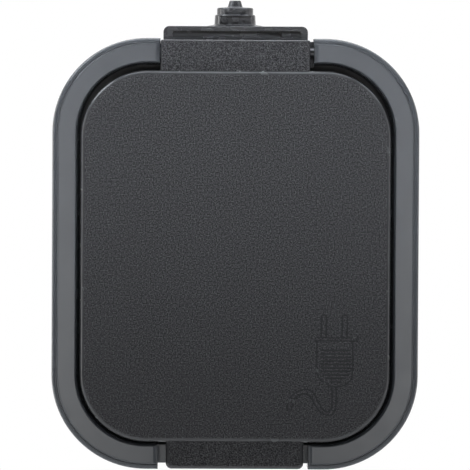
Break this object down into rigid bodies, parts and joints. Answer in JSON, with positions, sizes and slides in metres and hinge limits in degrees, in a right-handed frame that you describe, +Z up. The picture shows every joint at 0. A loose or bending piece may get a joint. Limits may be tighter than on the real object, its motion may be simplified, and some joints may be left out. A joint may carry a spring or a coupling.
{
  "type": "outdoor weatherproof socket",
  "caption": "Surface-mounted round-well mains socket in a rounded box, with a spring-closed hinged flap, sealing collar and a grommet cable entry.",
  "frame": {"origin": "centre of the back face, between the two wall fixing slots", "axes": "+Y into the wall, front faces -Y, +Z up, +X to the right seen from the front"},
  "size_m": [0.07, 0.0515, 0.0899],
  "materials": {
    "frame_grey": "satin grey moulding",
    "flap_anthracite": "fine grained anthracite",
    "cover_black": "fine grained black",
    "carrier_black": "smooth black thermoset",
    "entry_rubber": "soft satin black",
    "seal_rubber": "matt black",
    "contact_brass": "bright rolled",
    "steel": "zinc plated"
  },
  "bodies": {
    "housing": {"back_box": "frame_grey", "entry_insert": "entry_rubber", "box_gasket": "seal_rubber", "inner_cover": "cover_black", "well_sleeve": "cover_black", "front_frame": "frame_grey", "contact_carrier": "carrier_black", "live_contact": "contact_brass", "neutral_contact": "contact_brass", "earth_bracket": "contact_brass", "live_terminal": "contact_brass", "neutral_terminal": "contact_brass", "earth_terminal": "contact_brass", "live_screw": "steel", "neutral_screw": "steel", "earth_screw": "steel", "carrier_screws": "steel", "cover_screws": "steel", "hinge_pin": "steel", "hinge_spring": "steel"},
    "flap": {"flap": "flap_anthracite", "flap_gasket": "seal_rubber"}
  },
  "joints": [
    {"name": "flap_hinge", "type": "hinge", "parent": "housing", "child": "flap", "pos_m": [0, -0.0474, 0.0384], "axis": [-1, 0, 0], "range_deg": [0, 110], "stiffness_Nm_per_rad": 0.012, "springref_deg": -68.75, "deforming": ["hinge_spring"]}
  ]
}
